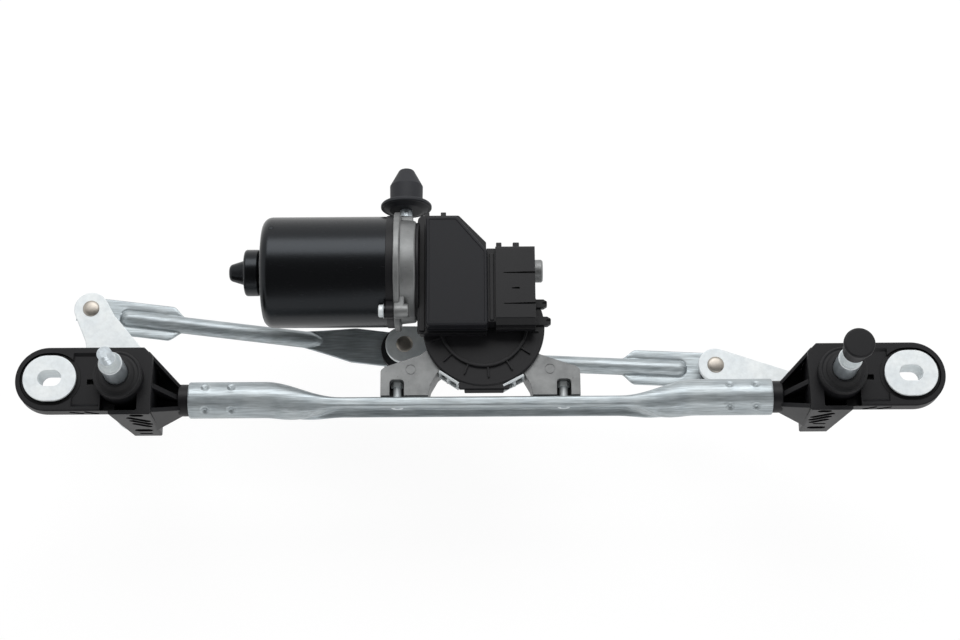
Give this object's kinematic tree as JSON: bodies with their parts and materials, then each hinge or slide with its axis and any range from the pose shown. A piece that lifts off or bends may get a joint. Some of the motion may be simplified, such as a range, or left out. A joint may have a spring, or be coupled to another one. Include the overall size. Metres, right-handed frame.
{
  "type": "wiper linkage",
  "caption": "Windscreen wiper linkage: a geared motor on a tubular frame turns a crank whose ball-jointed rods swing spindles in moulded bearing housings.",
  "frame": {"origin": "midway between the two mounting slots, level with the washers' front faces", "axes": "+X along the frame tube to the viewer's right, +Y square to it towards the motor, +Z along the spindles towards the wiper arms"},
  "size_m": [0.6274, 0.1869, 0.1684],
  "materials": {
    "galvanised": "satin",
    "zinc_plate": "bright zinc",
    "rivet_steel": "dull",
    "machined_steel": "fine turned",
    "can_paint": "gloss black",
    "cast_aluminium": "as cast",
    "black_plastic": "glass filled, matt",
    "lid_plastic": "fine texture",
    "socket_plastic": "matt",
    "ball_plastic": "natural acetal",
    "wheel_plastic": "natural acetal",
    "board_laminate": "solder mask",
    "rubber_black": "matt",
    "rubber_grey": "matt",
    "ferrite": "fired",
    "copper": "bare copper",
    "bronze": "sintered",
    "carbon": "pressed"
  },
  "bodies": {
    "body": {"frame_tube": "galvanised", "gearbox_housing": "cast_aluminium", "gear_cover": "black_plastic", "electronics_lid": "lid_plastic", "circuit_board": "board_laminate", "connector_housing": "black_plastic", "connector_terminals": "zinc_plate", "cover_clips": "zinc_plate", "motor_can": "can_paint", "field_magnets": "ferrite", "brush_holder": "black_plastic", "carbon_brushes": "carbon", "can_screws": "zinc_plate", "armature_bushes": "bronze", "output_shaft_bush": "bronze", "foot_screws": "zinc_plate", "foot_nuts": "zinc_plate", "locating_plug": "rubber_grey", "plug_stud": "zinc_plate", "left_bearing_housing": "black_plastic", "left_rubber_isolator": "rubber_black", "left_mount_sleeve": "zinc_plate", "left_mount_backplate": "zinc_plate", "left_spindle_bushes": "bronze", "left_spindle_seal": "rubber_black", "right_bearing_housing": "black_plastic", "right_rubber_isolator": "rubber_black", "right_mount_sleeve": "zinc_plate", "right_mount_backplate": "zinc_plate", "right_spindle_bushes": "bronze", "right_spindle_seal": "rubber_black"},
    "motor_crank": {"worm_wheel": "wheel_plastic", "output_shaft": "machined_steel", "output_washer": "zinc_plate", "motor_crank_arm": "zinc_plate", "crank_nut": "zinc_plate", "crank_pin": "rivet_steel"},
    "armature": {"armature_shaft": "machined_steel", "armature_core": "galvanised", "armature_windings": "copper", "commutator": "copper"},
    "right_cap": {"right_spindle_cap": "black_plastic"},
    "left_spindle": {"left_spindle_shaft": "machined_steel", "left_crank_arm": "zinc_plate", "left_ball_pin": "rivet_steel", "left_spindle_rings": "zinc_plate"},
    "left_rod": {"left_link_rod": "galvanised", "left_spindle_socket": "socket_plastic", "left_motor_socket": "socket_plastic", "left_motor_ball": "ball_plastic"},
    "right_spindle": {"right_spindle_shaft": "machined_steel", "right_crank_arm": "zinc_plate", "right_ball_pin": "rivet_steel", "right_spindle_rings": "zinc_plate"},
    "right_rod": {"right_link_rod": "galvanised", "right_spindle_socket": "socket_plastic", "right_motor_socket": "socket_plastic", "right_motor_ball": "ball_plastic"}
  },
  "joints": [
    {"name": "motor_crank_turn", "type": "hinge", "parent": "body", "child": "motor_crank", "pos_m": [0.0025, 0.041, -0.064], "axis": [0, 0, 1], "range_deg": [0, 180]},
    {"name": "armature_turn", "type": "hinge", "parent": "body", "child": "armature", "pos_m": [0, 0.0848, -0.028], "axis": [1, 0, 0], "range_deg": [0, 10800]},
    {"name": "left_spindle_turn", "type": "hinge", "parent": "body", "child": "left_spindle", "pos_m": [-0.24325, 0, -0.034], "axis": [0, 0, 1], "range_deg": [-88.2, 0]},
    {"name": "left_rod_swing", "type": "hinge", "parent": "left_spindle", "child": "left_rod", "pos_m": [-0.28016, 0.07468, -0.086], "axis": [0, 0, 1], "range_deg": [0, 96.1]},
    {"name": "right_spindle_turn", "type": "hinge", "parent": "body", "child": "right_spindle", "pos_m": [0.24325, 0, -0.034], "axis": [0, 0, 1], "range_deg": [-94.5, 0]},
    {"name": "right_rod_swing", "type": "hinge", "parent": "right_spindle", "child": "right_rod", "pos_m": [0.16783, 0.02926, -0.086], "axis": [0, 0, 1], "range_deg": [0, 106.8]},
    {"name": "right_cap_pull", "type": "slide", "parent": "right_spindle", "child": "right_cap", "axis": [0, 0, 1], "range_m": [0, 0.02]}
  ],
  "couplings": [
    {"joint": "armature_turn", "follows": "motor_crank_turn", "ratio": 60},
    {"joint": "left_spindle_turn", "follows": "motor_crank_turn", "ratio": -0.48945},
    {"joint": "left_rod_swing", "follows": "motor_crank_turn", "ratio": 0.5333},
    {"joint": "right_spindle_turn", "follows": "motor_crank_turn", "ratio": -0.52429},
    {"joint": "right_rod_swing", "follows": "motor_crank_turn", "ratio": 0.59281}
  ]
}
